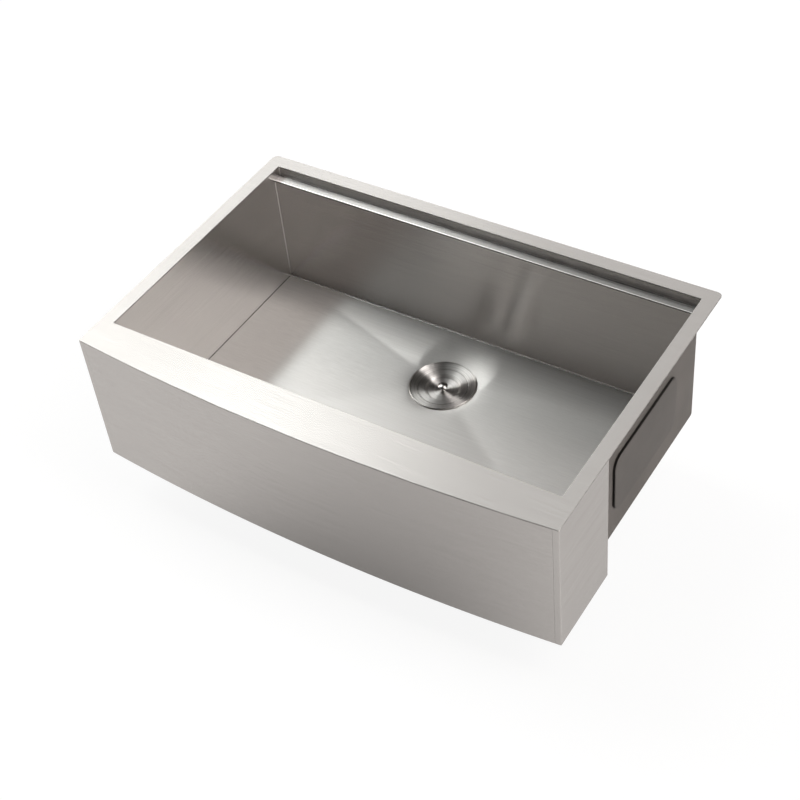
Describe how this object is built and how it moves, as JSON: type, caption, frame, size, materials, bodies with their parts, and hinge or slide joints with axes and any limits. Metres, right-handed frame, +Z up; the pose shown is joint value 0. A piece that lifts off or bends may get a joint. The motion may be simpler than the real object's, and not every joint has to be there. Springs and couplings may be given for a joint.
{
  "type": "farmhouse apron front sink",
  "caption": "Single bowl kitchen sink in brushed steel with a bowed apron front, inside ledges, a creased floor and a basket strainer whose lid and basket lift out.",
  "frame": {"origin": "where the drain's axis meets the plane of the rim's top face", "axes": "+X to the right as seen from the apron, +Y from the apron to the back, +Z up"},
  "size_m": [0.8382, 0.5556, 0.335],
  "materials": {
    "brushed_sheet": "satin brushed sheet; the bowl's outside is sprayed grey-brown",
    "turned_steel": "round brushed, bright",
    "pad_rubber": "matt pad under a grey-brown spray coat",
    "seal_rubber": "black moulded rubber",
    "fibre": "pressed fibre",
    "nut_plastic": "moulded black plastic"
  },
  "bodies": {
    "sink": {"bowl_trough": "brushed_sheet", "left_end_wall": "brushed_sheet", "right_end_wall": "brushed_sheet", "rim_frame": "brushed_sheet", "apron_front_panel": "brushed_sheet", "apron_left_return": "brushed_sheet", "apron_right_return": "brushed_sheet", "apron_bottom_hem": "brushed_sheet", "sound_pad_left": "pad_rubber", "sound_pad_right": "pad_rubber", "sound_pad_back": "pad_rubber", "sound_pad_front": "pad_rubber", "sound_pad_floor_left": "pad_rubber", "sound_pad_floor_right": "pad_rubber", "strainer_body": "turned_steel", "flange_gasket": "seal_rubber", "sink_washer": "seal_rubber", "friction_ring": "fibre", "lock_nut": "nut_plastic", "tailpiece_washer": "seal_rubber", "coupling_nut": "nut_plastic"},
    "basket": {"basket": "turned_steel", "basket_handle": "turned_steel"},
    "lid": {"lid_dish": "turned_steel", "lid_seal": "seal_rubber", "lid_post": "turned_steel", "lid_knob": "turned_steel", "lid_washer": "seal_rubber", "lid_nut": "turned_steel"}
  },
  "joints": [
    {"name": "basket_lift", "type": "slide", "parent": "sink", "child": "basket", "axis": [0, 0, 1], "range_m": [0, 0.3]},
    {"name": "lid_lift", "type": "slide", "parent": "basket", "child": "lid", "axis": [0, 0, 1], "range_m": [0, 0.28]}
  ]
}
